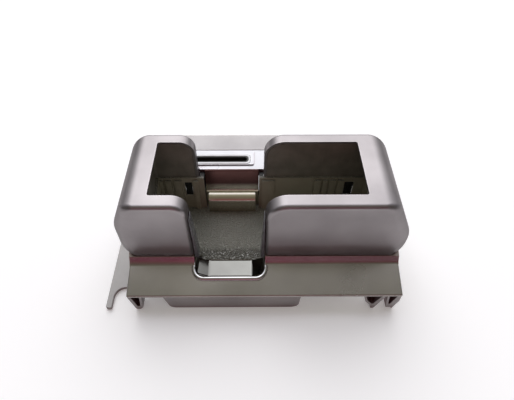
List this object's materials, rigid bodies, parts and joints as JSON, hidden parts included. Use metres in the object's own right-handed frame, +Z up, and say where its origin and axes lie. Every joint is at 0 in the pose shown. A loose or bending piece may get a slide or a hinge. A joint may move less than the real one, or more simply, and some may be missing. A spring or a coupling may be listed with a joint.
{
  "type": "cash machine bezel",
  "caption": "Silver customer bezel of a cash machine: hooded banknote pocket, sloped fascia plate, card slot and chromed finger scoops",
  "frame": {"origin": "under the middle of the banknote pocket, on the plane the tray, feet, hooks and ear rest on (the tray_seat mount)", "axes": "+X to the customer's right along the longest side, +Y away from the customer, +Z up out of the pocket"},
  "size_m": [0.3066, 0.1817, 0.127],
  "materials": {
    "silver_hood": "satin silver paint on moulded plastic",
    "silver_plate": "satin silver paint on moulded plastic",
    "silver_tray": "flat silver paint on moulded plastic",
    "light_grey": "light grey moulded plastic",
    "bright_silver": "bright silver paint",
    "dark_textured": "dark warm grey, spark-textured",
    "black_plastic": "matt black moulded plastic",
    "black_lens": "polished black infrared window",
    "chromed_plastic": "bright chrome plating on plastic",
    "clear_guide": "milky white light guide",
    "circuit_board": "green solder mask",
    "steel": "plain turned steel"
  },
  "bodies": {
    "bezel": {"fascia_plate": "silver_plate", "hood_left": "silver_hood", "hood_right": "silver_hood", "pocket_liner_left": "dark_textured", "pocket_liner_right": "dark_textured", "notch_cheek_left": "dark_textured", "notch_cheek_right": "dark_textured", "note_tub": "dark_textured", "sensor_window_left": "black_lens", "sensor_window_right": "black_lens", "rear_finger_scoop": "chromed_plastic", "scoop_filler_left": "dark_textured", "scoop_filler_right": "dark_textured", "front_finger_cup": "chromed_plastic", "slot_console": "bright_silver", "slot_frame": "bright_silver", "slot_light_guide": "clear_guide", "card_throat": "black_plastic", "flap_pin": "steel", "indicator_board": "circuit_board", "indicator_led_1": "clear_guide", "indicator_led_2": "clear_guide", "indicator_led_3": "clear_guide", "indicator_led_4": "clear_guide", "lower_tray": "silver_tray", "mounting_ear": "light_grey", "left_foot": "silver_tray", "right_hook_inner": "silver_tray", "right_hook_outer": "silver_tray", "hood_screw_1": "steel", "hood_screw_2": "steel", "hood_screw_3": "steel", "hood_screw_4": "steel", "hood_screw_5": "steel", "hood_screw_6": "steel", "hood_screw_7": "steel", "tray_screw_1": "steel", "tray_screw_2": "steel", "tray_screw_3": "steel", "tray_screw_4": "steel", "console_screw_1": "steel", "console_screw_2": "steel"},
    "flap": {"card_flap": "black_plastic"}
  },
  "joints": [
    {"name": "card_flap_hinge", "type": "hinge", "parent": "bezel", "child": "flap", "pos_m": [-0.0405, 0.0672, 0.0674], "axis": [1, 0, 0], "range_deg": [0, 70], "stiffness_Nm_per_rad": 0.0015, "springref_deg": -5.73}
  ]
}
